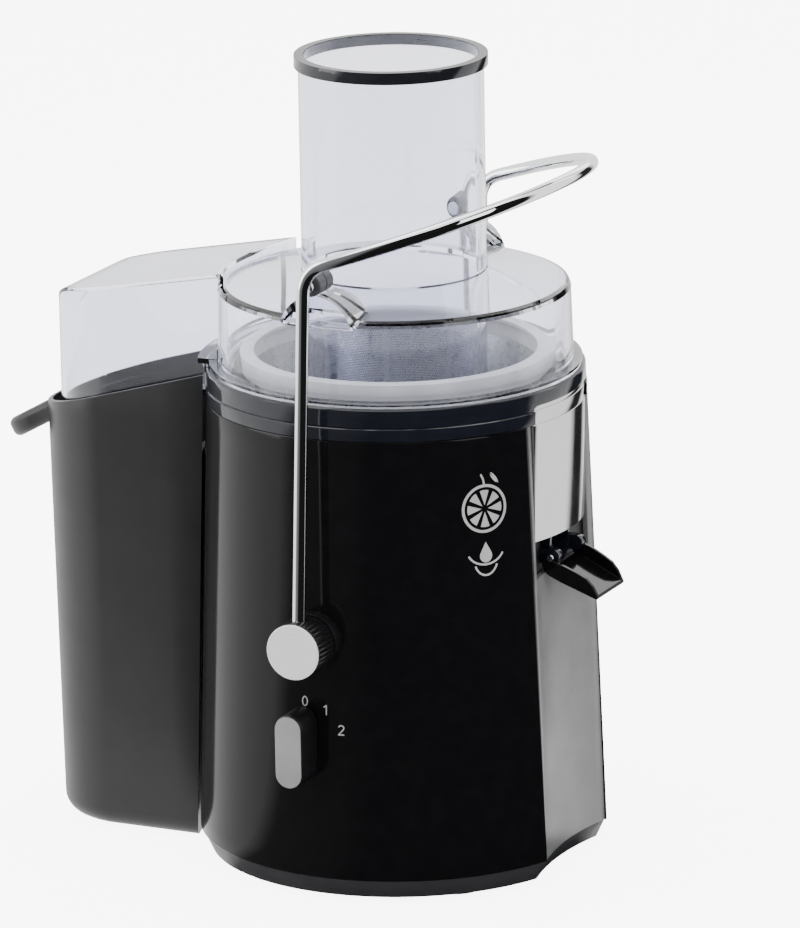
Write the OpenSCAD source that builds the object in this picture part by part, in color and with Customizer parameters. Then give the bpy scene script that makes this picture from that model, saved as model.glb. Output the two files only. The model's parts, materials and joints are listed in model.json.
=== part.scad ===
// Centrifugal juicer with a clear lid, a wire locking arm and a side pulp container.
// Origin: basket axis at table level. +X juice spout, -X pulp container, -Y front, +Z up.

/* [Housing] */
// height of the housing top above the table
housing_top = 217.6; // [190:0.2:225]
// height of the lower edge of the outer panels
panel_low = 12; // [8:0.5:16]
// outer radius of the housing at its lower edge
foot_r = 95; // [86:0.5:98]
// outer radius of the housing at its top
top_r = 88; // [84:0.5:94]
// thickness of the outer panels
panel_t = 2.5; // [1.8:0.1:4]
// thickness of the inner shell
shell_t = 2.2; // [1.6:0.1:4]
// radius of the hollow curve on the spout side
scoop_r = 150; // [110:5:220]
// distance from axis to the hollow side at its lower edge
scoop_low = 84.5; // [78:0.5:86]
// distance from axis to the hollow side at its top
scoop_high = 78; // [74:0.5:84]

/* [Feet] */
// radius of a suction foot at the table
foot_cup_r = 12.5; // [9:0.5:15]
// distance of each foot from the axis
foot_ring_r = 70; // [62:1:72]

/* [Bowl and basket] */
// top of the glossy bowl rim
bowl_top = 232.6; // [218:0.2:240]
// radius of the bowl where it drops into the housing
bowl_r = 78.5; // [72:0.5:80]
// height of the underside of the bowl
bowl_low = 141; // [139:0.5:150]
// radius of the basket at its rim
basket_r = 70; // [62:0.5:74]
// radius of the basket at its floor
basket_low_r = 54; // [50:0.5:60]
// height of the basket floor
basket_floor = 178; // [174:0.5:186]
// height of the basket rim
basket_top = 240; // [230:0.5:246]
// radius of the grating disc
grater_r = 48; // [40:0.5:52]

/* [Lid and feed tube] */
// outer radius of the lid
lid_r = 81; // [76:0.5:84]
// height of the lid shoulder
lid_top = 271.4; // [262:0.2:280]
// height where the feed tube leaves the lid
tube_base = 278; // [270:0.5:284]
// top of the feed tube collar
tube_top = 377.8; // [340:0.2:400]
// outer radius of the feed tube
tube_r = 42.5; // [34:0.5:46]
// wall thickness of the lid and feed tube
clear_t = 2.5; // [1.8:0.1:3.5]
// lower end of the feed tube inside the basket
tube_low = 192; // [188:0.5:210]

/* [Pulp container] */
// half width of the container
pulp_half = 41.5; // [36:0.5:46]
// distance from the axis to the centre of the rounded end
pulp_end = 135; // [120:1:150]
// wall thickness of the container
pulp_t = 2.3; // [1.8:0.1:3.5]
// container rim height at the housing
rim_high = 228; // [222:0.5:232]
// slope of the container rim, degrees
rim_slope = 15.6; // [10:0.1:20]
// slope of the hood roof, degrees
hood_slope = 10.5; // [6:0.1:14]

/* [Locking arm] */
// diameter of the arm rod
rod_d = 6; // [5:0.1:8]
// height of the arm pivot
pivot_z = 124.4; // [115:0.2:135]
// half distance between the rods at the pivot
pivot_y = 107.5; // [102:0.5:114]
// half distance between the rods at the bend
bend_y = 95.2; // [92:0.2:100]
// height of the bend
bend_z = 297.4; // [285:0.2:305]
// upward tilt of the hand loop, degrees
loop_tilt = 18.5; // [10:0.5:30]
// radius of the pivot cap
cap_r = 12.9; // [10:0.1:16]
// radius of a latch roller
roller_r = 5.2; // [4:0.1:7]
// height of the roller axle
roller_z = 289; // [284:0.2:296]

/* [Speed knob] */
// knob centre, measured across the front
knob_x = -5; // [-10:0.5:10]
// knob centre height
knob_z = 75.5; // [65:0.5:90]
// knob length
knob_len = 34.6; // [28:0.2:40]
// knob width
knob_w = 13.7; // [10:0.1:18]
// distance from the axis to the knob face
knob_face_y = 111; // [104:0.5:118]

/* [Juice spout] */
// spout hinge distance from the axis
spout_x = 84.5; // [83:0.5:88]
// spout hinge height
spout_z = 152; // [150:0.5:154]

/* [Hidden] */
$fn = 96;
scoop_tilt = atan((scoop_low - scoop_high) / (housing_top - panel_low));
deck_low = 137;
deck_t = 2.6;
dome_r = 18;
dome_top = roller_z - roller_r - 0.8;
shaft_r = 4;
boss_y0 = 84.5;
boss_y1 = 96.8;
hub_y1 = 113;
rise = bend_z - pivot_z;
splay = atan((pivot_y - bend_y) / rise);
rod_r = rod_d / 2;
hood_half = pulp_half - pulp_t - 0.8;
hood_end = pulp_end - 4;
rim_k = tan(rim_slope);
hood_k = tan(hood_slope);
hood_round = 22;
outlet_z = 156;
plate_half = 28.6;
base_top = panel_low - 0.2;
plate_low = 162.2;
screw_angles = [70, 110, 250, 290];
screw_ring_r = 77;
seat_inset = panel_t + shell_t + 0.3;

// outer radius of the housing at a height
function wall_r(z) = foot_r + (top_r - foot_r) * (z - panel_low) / (housing_top - panel_low);
// container rim height at a distance along X
function rim_z(x) = rim_high + (x + 80) * rim_k;
// hood roof height at a distance along X
function roof_z(x) = 276.5 + (x + 70) * hood_k;

// cylinder lying along Y from y0 to y1
module rod_y(r, y0, y1, x = 0, z = 0) {
  translate([x, y1, z])
    rotate([90, 0, 0])
      cylinder(r = r, h = y1 - y0);
}

// tube lying along Y
module tube_y(r, bore, y0, y1, x = 0, z = 0) {
  difference() {
    rod_y(r, y0, y1, x, z);
    rod_y(bore, y0 - 1, y1 + 1, x, z);
  }
}

// upright ring
module ring(r, bore, z0, z1) {
  translate([0, 0, z0])
    difference() {
      cylinder(r = r, h = z1 - z0);
      translate([0, 0, -1])
        cylinder(r = bore, h = z1 - z0 + 2);
    }
}

// cutter for the hollow spout side, shifted inwards by inset
module scoop(inset) {
  translate([scoop_low + scoop_r, 0, panel_low])
    rotate([0, -scoop_tilt, 0])
      translate([0, 0, -40])
        cylinder(r = scoop_r + inset, h = 300, $fn = 180);
}

// solid of the housing outline, shifted inwards by inset, between two heights
module outline(inset, z0, z1) {
  difference() {
    translate([0, 0, z0])
      cylinder(r1 = wall_r(z0) - inset, r2 = wall_r(z1) - inset, h = z1 - z0, $fn = 180);
    scoop(inset);
  }
}

// hollow skin of the housing outline
module skin(inset, t, z0, z1) {
  difference() {
    outline(inset, z0, z1);
    translate([0, 0, -0.01])
      outline(inset + t, z0 - 2, z1 + 2);
  }
}

// round opening for the juice outlet through the spout side
module outlet_hole(grow) {
  translate([60, 0, outlet_z])
    rotate([0, 90, 0])
      cylinder(r = 13 + grow, h = 40);
}

// bores for the arm pivots and the knob shaft
module front_holes(grow) {
  rod_y(8 + grow, -100, -60, 0, pivot_z);
  rod_y(4 + grow, -100, -60, knob_x, knob_z);
}

// slots that let the motor's air out at the back
module rear_vents() {
  for (i = [0 : 6])
    translate([-25.5 + i * 8, 70, 42])
      cube([3, 30, 26]);
}

// inner shell that carries every outer panel, with the bosses for the base screws
module housing_shell() {
  color([0.16, 0.16, 0.18])
    difference() {
      union() {
        skin(panel_t + 0.1, shell_t, panel_low, housing_top - 3.1);
        intersection() {
          outline(3, panel_low, 34);
          for (a = screw_angles)
            rotate([0, 0, a]) {
              translate([screw_ring_r, 0, panel_low])
                cylinder(r = 5, h = 21);
              translate([screw_ring_r, -2, panel_low])
                cube([16, 4, 21]);
            }
        }
      }
      for (a = screw_angles)
        rotate([0, 0, a])
          translate([screw_ring_r, 0, 0])
            cylinder(r = 2.05, h = 24);
      outlet_hole(0.3);
      front_holes(0);
      rod_y(8, 60, 100, 0, pivot_z);
      rod_y(5.2, 60, 100, 0, 30);
      rear_vents();
    }
}

// glossy black wrap around panel carrying the pivot and the speed knob
module front_panel() {
  color([0.02, 0.02, 0.025])
    difference() {
      intersection() {
        skin(0, panel_t, panel_low, housing_top);
        union() {
          translate([-120, -120, 0])
            cube([120, 80, 240]);
          translate([-0.01, -120, 0])
            cube([120, 120 - 33.5, 240]);
        }
      }
      front_holes(0);
    }
}

// rear cover, the mirror of the front panel
module rear_cover() {
  color([0.10, 0.10, 0.11])
    difference() {
      intersection() {
        skin(0, panel_t, panel_low, housing_top);
        union() {
          translate([-120, 40, 0])
            cube([120, 80, 240]);
          translate([-0.01, 33.5, 0])
            cube([120, 86.5, 240]);
        }
      }
      rod_y(8, 60, 100, 0, pivot_z);
      rod_y(5.2, 60, 100, 0, 30);
      rear_vents();
    }
}

// hollow side panel under the spout
module side_panel() {
  color([0.55, 0.55, 0.57])
    difference() {
      intersection() {
        skin(0, panel_t, panel_low, housing_top);
        translate([40, -33.4, 0])
          cube([80, 66.8, 240]);
      }
      translate([60, -plate_half - 0.3, outlet_z - 11.5])
        cube([40, 2 * plate_half + 0.6, 94]);
    }
}

// glossy plate above the juice outlet
module chute_panel() {
  color([0.45, 0.45, 0.47])
    intersection() {
      rotate_extrude($fn = 180)
        polygon([[84.4, plate_low + 1.8], [84.4, 226], [87, 226], [87, 224.2], [86.6, 223.9], [87, 223.6],
          [87, 217.6], [86.6, 217.3], [87, 217], [87, plate_low], [82.3, plate_low],
          [82.3, plate_low + 1.8]]);
      translate([79.3, -plate_half, 150])
        cube([40, 2 * plate_half, 90]);
    }
}

// tapering solid of the skirt, shifted inwards by inset
module skirt(inset) {
  grow = inset > 0 ? 0.02 : 0;
  difference() {
    translate([0, 0, 3 - grow / 2])
      cylinder(r1 = foot_r - 5 - inset, r2 = foot_r - 1 - inset, h = base_top - 3 + 2 * grow, $fn = 180);
    translate([scoop_low + scoop_r, 0, 2.98])
      cylinder(r1 = scoop_r + 5 + inset, r2 = scoop_r + 1 + inset, h = base_top - 2.96 + 2 * grow,
        $fn = 180);
  }
}

// base plate with the tapering skirt and the slots for cooling air
module base_plate() {
  color([0.25, 0.25, 0.27])
    difference() {
      union() {
        difference() {
          skirt(0);
          translate([0, 0, -0.01])
            skirt(2.5);
        }
        outline(3, 8, base_top);
        ring(46, 43, base_top - 0.1, 17);
      }
      for (a = [45, 135, 225, 315])
        rotate([0, 0, a])
          translate([foot_ring_r, 0, 0])
            cylinder(r = 5, h = 30);
      for (i = [0 : 8])
        translate([-30, -34 + i * 8, 0])
          cube([60, 3.2, 30]);
      for (a = screw_angles)
        rotate([0, 0, a])
          translate([screw_ring_r, 0, 0])
            cylinder(r = 2.1, h = 30);
      rotate([0, 0, 242])
        translate([78, 0, 2.5])
          rotate([0, 90, 0])
            cylinder(r = 5, h = 12);
    }
}

// suction foot at an angle around the axis
module foot(a) {
  color([0.05, 0.05, 0.05])
    rotate([0, 0, a])
      translate([foot_ring_r, 0, 0])
        rotate_extrude()
          polygon([[0, 2.2], [6, 1.6], [foot_cup_r - 1.2, 0], [foot_cup_r, 0], [foot_cup_r, 1.1],
            [9, 5], [8.6, 7.9], [4.9, 7.9], [4.9, base_top + 0.1], [6.6, base_top + 0.1],
            [6.6, base_top + 1.6], [0, base_top + 1.6]]);
}

// four screws holding the base plate
module base_screws() {
  color([0.6, 0.6, 0.62])
    for (a = screw_angles)
      rotate([0, 0, a])
        translate([screw_ring_r, 0, 0]) {
          translate([0, 0, 5.4])
            cylinder(r = 3.8, h = 2.5);
          translate([0, 0, 7.8])
            cylinder(r = 2, h = 12);
        }
}

// round well with a flat on the spout side
module well(r, inset, z0, z1) {
  difference() {
    translate([0, 0, z0])
      cylinder(r = r, h = z1 - z0, $fn = 180);
    scoop(inset);
  }
}

// seat that closes the housing top, holds the bowl and carries the motor
module bowl_seat() {
  color([0.14, 0.14, 0.16])
    difference() {
      union() {
        well(bowl_r + 2.6, seat_inset, deck_low, housing_top - 0.1);
        outline(panel_t + 0.1, housing_top - 3, housing_top - 0.1);
      }
      well(bowl_r + 0.4, seat_inset + 2.2, deck_low + deck_t, housing_top + 5);
      translate([0, 0, deck_low - 1])
        cylinder(r = 12, h = 10);
      for (a = [45, 135, 225, 315])
        rotate([0, 0, a])
          translate([45, 0, deck_low - 1])
            cylinder(r = 2.6, h = 10);
      outlet_hole(0.3);
    }
}

// cord gland at the back of the housing
module cord_gland() {
  color([0.04, 0.04, 0.04])
    union() {
      tube_y(7, 3.2, wall_r(30) - 9.1, wall_r(30) - 5.3, 0, 30);
      tube_y(5.1, 3.2, wall_r(30) - 9.1, wall_r(22) + 0.2, 0, 30);
      tube_y(8, 3.2, wall_r(22) + 0.1, wall_r(30) + 2.9, 0, 30);
      tube_y(5.4, 3.2, wall_r(30) + 2.8, wall_r(30) + 6.8, 0, 30);
    }
}

// fixed bush that carries an arm pivot pin, on the front or the rear
module pivot_boss(s) {
  color([0.06, 0.06, 0.07])
    mirror([0, s > 0 ? 1 : 0, 0]) {
      tube_y(7.9, 4.05, -boss_y1, -78, 0, pivot_z);
      difference() {
        tube_y(13.4, 7.8, -boss_y1, -80, 0, pivot_z);
        outline(-0.05, 60, 180);
      }
    }
}

// safety switch next to the arm cam
module safety_switch() {
  color([0.12, 0.12, 0.14])
    union() {
      translate([12.5, -80, 112])
        cube([7, 16, 22]);
      translate([10.2, -74, 118])
        cube([2.5, 4, 8]);
    }
}

// laminated stator
module stator_core() {
  color([0.45, 0.45, 0.48])
    difference() {
      ring(36, 22.5, 60, 100);
      for (a = [45, 225])
        rotate([0, 0, a])
          translate([31, 0, 50])
            cylinder(r = 2.3, h = 60);
      for (a = [0, 180])
        rotate([0, 0, a])
          translate([22, -7, 50])
            cube([6, 14, 60]);
    }
}

// copper field windings above and below the stator
module field_windings() {
  color([0.72, 0.40, 0.16])
    union() {
      ring(28, 23.2, 100.1, 105.5);
      ring(28, 23.2, 54.8, 59.9);
      for (a = [0, 180])
        rotate([0, 0, a])
          translate([23.5, -6.6, 56])
            cube([4.2, 13.2, 48]);
    }
}

// motor bracket with a bearing pocket
module bracket(z0, z1, pocket) {
  color([0.72, 0.72, 0.74])
    difference() {
      union() {
        translate([0, 0, z0])
          intersection() {
            cylinder(r = 40, h = z1 - z0);
            rotate([0, 0, 45])
              translate([-40, -18, 0])
                cube([80, 36, z1 - z0]);
          }
        ring(14, 5, z0, z1);
        for (a = [45, 225])
          rotate([0, 0, a])
            translate([31, 0, z1 - 0.1])
              cylinder(r = 2.95, h = 5.4);
      }
      translate([0, 0, pocket])
        cylinder(r = 11, h = 7.01);
      translate([0, 0, z0 - 1])
        cylinder(r = 5.2, h = z1 - z0 + 2);
      for (a = [45, 225])
        rotate([0, 0, a])
          translate([31, 0, z0 - 1])
            cylinder(r = 2.15, h = z1 - z0 + 8);
    }
}

// upper bracket with the arms that reach the rubber bushes
module upper_bracket() {
  color([0.72, 0.72, 0.74])
    difference() {
      union() {
        ring(22, 5, 117, 126);
        for (a = [45, 135, 225, 315])
          rotate([0, 0, a])
            translate([14, -7, 122])
              cube([38, 14, 4]);
        for (a = [45, 225])
          rotate([0, 0, a])
            translate([31, 0, 100.1])
              cylinder(r = 2.95, h = 22);
      }
      translate([0, 0, 118.99])
        cylinder(r = 11, h = 8);
      for (a = [45, 225])
        rotate([0, 0, a])
          translate([31, 0, 100])
            cylinder(r = 2.15, h = 30);
      for (a = [45, 135, 225, 315])
        rotate([0, 0, a])
          translate([45, 0, 116])
            cylinder(r = 2.6, h = 12);
    }
}

// lower bracket
module lower_bracket() {
  bracket(44, 54.6, 47.6);
}

// ball bearing, shown as a plain sealed ring
module bearing(z0) {
  color([0.8, 0.8, 0.82])
    difference() {
      ring(10.95, shaft_r + 0.02, z0, z0 + 6.9);
      for (z = [z0 - 1, z0 + 6.5])
        translate([0, 0, z])
          difference() {
            cylinder(r = 9.4, h = 1.4);
            cylinder(r = 6, h = 1.4);
          }
    }
}

// rubber bushes between the motor and the seat
module motor_bushes() {
  color([0.07, 0.07, 0.07])
    for (a = [45, 135, 225, 315])
      rotate([0, 0, a])
        translate([45, 0, 0])
          difference() {
            translate([0, 0, 126.1])
              cylinder(r = 7, h = deck_low - 126.2);
            translate([0, 0, 120])
              cylinder(r = 2.2, h = 30);
          }
}

// two long motor screws and the four bush screws
module motor_screws() {
  color([0.62, 0.62, 0.64]) {
    for (a = [45, 225])
      rotate([0, 0, a])
        translate([31, 0, 0]) {
          translate([0, 0, 41])
            cylinder(r = 4, h = 2.9);
          translate([0, 0, 43])
            cylinder(r = 2, h = 86);
        }
    for (a = [45, 135, 225, 315])
      rotate([0, 0, a])
        translate([45, 0, 0]) {
          translate([0, 0, 118.4])
            cylinder(r = 4.6, h = 3.5);
          translate([0, 0, 121])
            cylinder(r = 2, h = 18);
        }
  }
}

// brush holders on both sides of the commutator
module brush_holders() {
  color([0.50, 0.40, 0.22])
    for (s = [-1, 1])
      translate([0, s * 20.6, 110.5])
        difference() {
          cube([9, 18, 8.6], center = true);
          translate([0, -s * 4, 0])
            cube([5, 12, 5], center = true);
        }
  color([0.1, 0.1, 0.1])
    for (s = [-1, 1])
      translate([0, s * 20.2, 110.5])
        cube([4.98, 18, 4.98], center = true);
}

// rotary switch behind the speed knob
module rotary_switch() {
  color([0.16, 0.16, 0.18])
    difference() {
      union() {
        translate([knob_x - 13, -80, knob_z - 12])
          cube([26, 18, 24]);
        rod_y(6, -84, -79, knob_x, knob_z);
        for (i = [-1, 0, 1])
          translate([knob_x + i * 7 - 1.5, -62.5, knob_z - 4])
            cube([3, 8, 0.9]);
      }
      rod_y(3.1, -90, -66, knob_x, knob_z);
    }
}

// juice bowl with its glossy rim and the outlet
module juice_bowl() {
  color([0.05, 0.05, 0.08])
    difference() {
      union() {
        difference() {
          union() {
            well(bowl_r, seat_inset + 2.5, bowl_low, housing_top + 1);
            rotate_extrude($fn = 180)
              polygon([[60, housing_top + 0.1], [top_r, housing_top + 0.1], [top_r, bowl_top - 9.4],
                [top_r - 0.8, bowl_top - 8.9], [top_r - 0.4, bowl_top - 8.4],
                [top_r - 0.6, bowl_top - 0.8], [top_r - 1.4, bowl_top],
                [84.2, bowl_top], [84.2, bowl_top - 4], [bowl_r - 0.4, bowl_top - 4],
                [bowl_r - 0.4, bowl_top - 2], [76.4, bowl_top - 2], [76.4, housing_top + 2.3],
                [60, housing_top + 2.3]]);
          }
          well(bowl_r - 2.1, seat_inset + 4.6, bowl_low + 2.4, housing_top + 8);
          translate([0, 0, bowl_low - 1])
            cylinder(r = 14, h = 10);
        }
        ring(16.2, 14, bowl_low, 168);
        translate([68.4, 0, outlet_z])
          rotate([0, 90, 0])
            cylinder(r = 11.2, h = 13.2);
        translate([78, -15.2, spout_z - 3.4])
          cube([spout_x - 78, 30.4, 6.8]);
        rod_y(3.4, -15.2, 15.2, spout_x, spout_z);
        intersection() {
          ring(94.5, top_r - 2, housing_top + 0.1, housing_top + 2.6);
          translate([-110, -36, 0])
            cube([50, 72, 300]);
        }
      }
      translate([60, 0, outlet_z])
        rotate([0, 90, 0])
          cylinder(r = 9.4, h = 40);
      intersection() {
        ring(100, 84.3, housing_top - 5, 226.1);
        translate([60, -plate_half - 0.2, 200])
          cube([40, 2 * plate_half + 0.4, 40]);
      }
      translate([81.6, -10.8, 140])
        cube([20, 21.6, 21]);
      rod_y(1.6, 12, 30, spout_x, spout_z);
      rod_y(1.6, -30, -12, spout_x, spout_z);
    }
}

// lip seal around the shaft under the bowl
module shaft_seal() {
  color([0.08, 0.08, 0.08])
    rotate_extrude()
      polygon([[4.3, deck_low], [11.9, deck_low], [11.9, deck_low + 2.7], [7, deck_low + 2.7],
        [5.2, deck_low + 3.6], [4.3, deck_low + 3.6]]);
}

// hinge pins of the spout
module spout_pins() {
  color([0.8, 0.8, 0.82])
    for (s = [-1, 1])
      translate([0, s * 15.35, 0])
        rod_y(1.55, -2.85, 2.85, spout_x, spout_z);
}

// hinged juice spout, an open tapering trough
module juice_spout() {
  color([0.03, 0.03, 0.04])
    difference() {
      intersection() {
        spout_plan(0);
        spout_side([[-4.2, 0.6], [-4.2, -3.4], [-3, -6.6], [-0.5, -8.6], [7, -11.8], [22, -18.2],
          [22.6, -17.2], [20, -12], [16.8, -8.4], [12.5, -6], [6.7, -3.3]]);
      }
      intersection() {
        spout_plan(2);
        spout_side([[-9, 12], [-9, -15], [-2.2, -15], [-2.2, -6.2], [0.3, -7], [7, -9.8], [30, -19.6],
          [30, 12]]);
      }
      rod_y(1.6, -30, 30, spout_x, spout_z);
    }
}

// side view of the spout around its hinge, drawn out along Y
module spout_side(points) {
  translate([spout_x, 0, spout_z])
    rotate([90, 0, 0])
      translate([0, 0, -30])
        linear_extrude(60)
          polygon(points);
}

// tapering outline of the spout seen from above, shifted inwards by inset
module spout_plan(inset) {
  translate([spout_x, 0, 100])
    linear_extrude(90)
      polygon([[-14, inset - 17.6], [5, inset - 17.6], [26, inset - 14.6], [26, 14.6 - inset],
        [5, 17.6 - inset], [-14, 17.6 - inset]]);
}

// straight leg of the arm, from the bend down into the pivot hub
module rod_leg(s, grow) {
  translate([0, s * bend_y, bend_z])
    rotate([s * splay, 0, 0])
      translate([0, 0, -rise / cos(splay) + 6.5 - grow])
        cylinder(r = rod_r + grow, h = rise / cos(splay) - 6.5 + grow);
}

// bent steel rod of the locking arm
module locking_arm() {
  color([0.78, 0.79, 0.80])
    union() {
      for (s = [-1, 1]) {
        translate([0, s * bend_y, bend_z])
          sphere(r = rod_r + 0.05);
        rod_leg(s, 0);
      }
      translate([0, 0, bend_z])
        rotate([0, -loop_tilt, 0])
          rotate([0, 0, -91])
            rotate_extrude(angle = 182, $fn = 180)
              translate([bend_y, 0])
                circle(r = rod_r, $fn = 48);
    }
}

// round hub that grips the rod at its pivot
module pivot_hub(s) {
  color([0.05, 0.05, 0.055])
    mirror([0, s > 0 ? 1 : 0, 0])
      difference() {
        rod_y(cap_r + 0.3, -hub_y1, -boss_y1 - 0.2, 0, pivot_z);
        rod_y(4.02, -110, -90, 0, pivot_z);
        rod_leg(-1, 0.03);
      }
}

// bright cap on the pivot hub
module pivot_cap(s) {
  color([0.8, 0.8, 0.82])
    mirror([0, s > 0 ? 1 : 0, 0])
      translate([0, -hub_y1, pivot_z])
        rotate([90, 0, 0])
          rotate_extrude()
            polygon([[0, 0.05], [cap_r, 0.05], [cap_r, 0.9], [cap_r - 0.7, 1.6], [0, 1.6]]);
}

// pivot pin
module pivot_pin(s) {
  color([0.7, 0.7, 0.72])
    mirror([0, s > 0 ? 1 : 0, 0])
      union() {
        rod_y(4, -109.9, -68, 0, pivot_z);
        rod_y(6, -77.6, -75.9, 0, pivot_z);
      }
}

// cam on the front pivot pin that works the safety switch
module lock_cam() {
  color([0.85, 0.85, 0.8])
    difference() {
      union() {
        rod_y(7.2, -75.7, -68.2, 0, pivot_z);
        translate([3, -75.7, pivot_z - 3])
          cube([6.4, 7.5, 6]);
      }
      rod_y(4.02, -90, -60, 0, pivot_z);
    }
}

// axle that carries a latch roller on the rod
module roller_axle(s) {
  color([0.8, 0.8, 0.82])
    mirror([0, s > 0 ? 1 : 0, 0])
      union() {
        rod_y(2, -93.6, -72.6, 0, roller_z);
        rod_y(3.2, -74.2, -72.2, 0, roller_z);
        rod_y(3.2, -93, -89.3, 0, roller_z);
      }
}

// latch roller
module roller(s) {
  color([0.25, 0.25, 0.27])
    mirror([0, s > 0 ? 1 : 0, 0])
      tube_y(roller_r, 2.05, -89, -74.5, 0, roller_z);
}

// oblong outline used by the knob
module oblong(len, w) {
  union() {
    square([w, len - w], center = true);
    for (s = [-1, 1])
      translate([0, s * (len - w) / 2])
        circle(r = w / 2);
  }
}

// bar shaped speed knob
module speed_knob() {
  color([0.04, 0.04, 0.045])
    difference() {
      translate([knob_x, -wall_r(knob_z) - 1, knob_z])
        rotate([90, 0, 0])
          linear_extrude(knob_face_y - wall_r(knob_z) - 2.1)
            oblong(knob_len, knob_w);
      rod_y(3.02, -106, -60, knob_x, knob_z);
    }
}

// grey face plate of the speed knob
module knob_face() {
  color([0.55, 0.56, 0.58])
    translate([knob_x, -knob_face_y + 1, knob_z])
      rotate([90, 0, 0])
        linear_extrude(1)
          oblong(knob_len - 1, knob_w - 1);
}

// shaft between knob and switch
module switch_shaft() {
  color([0.75, 0.75, 0.77])
    rod_y(3, -105.9, -66.2, knob_x, knob_z);
}

// plastic frame of the basket with its ribs, floor and hub
module basket_frame() {
  color([0.93, 0.93, 0.92])
    difference() {
      union() {
        rotate_extrude($fn = 144)
          polygon([[basket_r - 3.6, basket_top - 9], [basket_r + 1, basket_top - 9],
            [basket_r + 2, basket_top], [basket_r - 4.5, basket_top], [basket_r - 4.5, basket_top - 1.5],
            [basket_r - 2.4, basket_top - 3], [basket_r - 3, basket_top - 7]]);
        ring(basket_low_r + 1.6, 9.06, basket_floor, basket_floor + 3);
        ring(basket_low_r + 1.6, basket_low_r - 0.2, basket_floor, basket_floor + 8);
        ring(12.6, 9.06, 158, basket_floor + 1);
        ring(21, 19, 166, basket_floor + 1);
        for (i = [0 : 11])
          rotate([0, 0, i * 30])
            translate([basket_low_r, 0, basket_floor + 2])
              rotate([0, 14.3, 0])
                translate([0.3, -1.4, 0])
                  cube([1.6, 2.8, basket_top - basket_floor - 8.6]);
      }
      translate([0, 0, 185])
        cylinder(r1 = 53.95, r2 = 65.95, h = 46.8, $fn = 144);
    }
}

// perforated steel sieve
module sieve_mesh() {
  color([0.75, 0.76, 0.78])
    rotate_extrude($fn = 144)
      polygon([[52.4, 181.2], [53.1, 181.2], [53.5, 185], [65.4, 231.5], [64.9, 231.6], [52.6, 185]]);
}

// grating disc on the basket floor
module grater_disc() {
  color([0.78, 0.78, 0.8])
    union() {
      ring(grater_r, 5, basket_floor + 3.1, basket_floor + 4.2);
      for (k = [0 : 3])
        for (i = [0 : 17])
          rotate([0, 0, i * 20 + k * 9])
            translate([18 + k * 7.6, -0.5, basket_floor + 4.1])
              cube([2.6, 1, 1.5]);
    }
}

// cap that clamps the grating disc on the hub
module centre_cap() {
  color([0.9, 0.9, 0.88])
    rotate_extrude()
      polygon([[0, basket_floor + 4.3], [9, basket_floor + 4.3], [7.4, basket_floor + 8],
        [0, basket_floor + 10.5]]);
}

// coupling that drives the basket
module drive_coupling() {
  color([0.3, 0.3, 0.32])
    difference() {
      union() {
        translate([0, 0, 146])
          cylinder(r = 11, h = 11);
        translate([0, 0, 156.9])
          cylinder(r = 9, h = basket_floor + 1.8 - 156.9);
      }
      translate([0, 0, 140])
        cylinder(r = shaft_r + 0.02, h = 28);
    }
}

// motor shaft
module motor_shaft() {
  color([0.75, 0.75, 0.78])
    translate([0, 0, 28])
      cylinder(r = shaft_r, h = 139.5);
}

// laminated rotor
module rotor_core() {
  color([0.42, 0.42, 0.45])
    difference() {
      ring(21.6, shaft_r + 0.02, 60, 100);
      for (i = [0 : 11])
        rotate([0, 0, i * 30])
          translate([16.5, -1.2, 59])
            cube([8, 2.4, 42]);
    }
}

// end turns of the rotor
module rotor_windings() {
  color([0.70, 0.38, 0.15]) {
    ring(17, shaft_r + 0.02, 100.1, 104.9);
    ring(17, shaft_r + 0.02, 55.6, 59.9);
  }
}

// commutator
module commutator() {
  color([0.75, 0.45, 0.22])
    difference() {
      ring(11, shaft_r + 0.02, 105.1, 115.5);
      for (i = [0 : 11])
        rotate([0, 0, i * 30 + 15])
          translate([10, -0.3, 104])
            cube([2, 0.6, 13]);
    }
}

// cooling fan under the motor
module cooling_fan() {
  color([0.12, 0.12, 0.13])
    union() {
      ring(9, shaft_r + 0.02, 30, 38);
      ring(32, 8.9, 37, 38.6);
      for (i = [0 : 8])
        rotate([0, 0, i * 40])
          translate([8.8, -0.9, 30])
            cube([22.5, 1.8, 7.1]);
    }
}

// hood outline seen from above
module hood_plan(inset) {
  union() {
    translate([-hood_end, -hood_half + inset])
      square([hood_end - 60, 2 * (hood_half - inset)]);
    translate([-hood_end, 0])
      circle(r = hood_half - inset);
  }
}

// hood solid with its rounded end, shifted inwards by inset
module hood_solid(inset, drop) {
  r = hood_round - inset;
  x0 = -hood_end - hood_half + hood_round;
  x1 = -58;
  z0 = roof_z(x0) - hood_round / cos(hood_slope);
  intersection() {
    translate([0, 0, 150])
      linear_extrude(150)
        hood_plan(inset);
    rotate([90, 0, 0])
      translate([0, 0, -60])
        linear_extrude(120) {
          polygon([[x0 - r, rim_z(x0 - r) - 5 - drop], [x1, rim_z(x1) - 5 - drop],
            [x1, roof_z(x1) - inset / cos(hood_slope)],
            [x0 - r * sin(hood_slope), z0 + r * cos(hood_slope)], [x0, z0], [x0 - r, z0]]);
          translate([x0, z0])
            circle(r = r);
        }
  }
}

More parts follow.
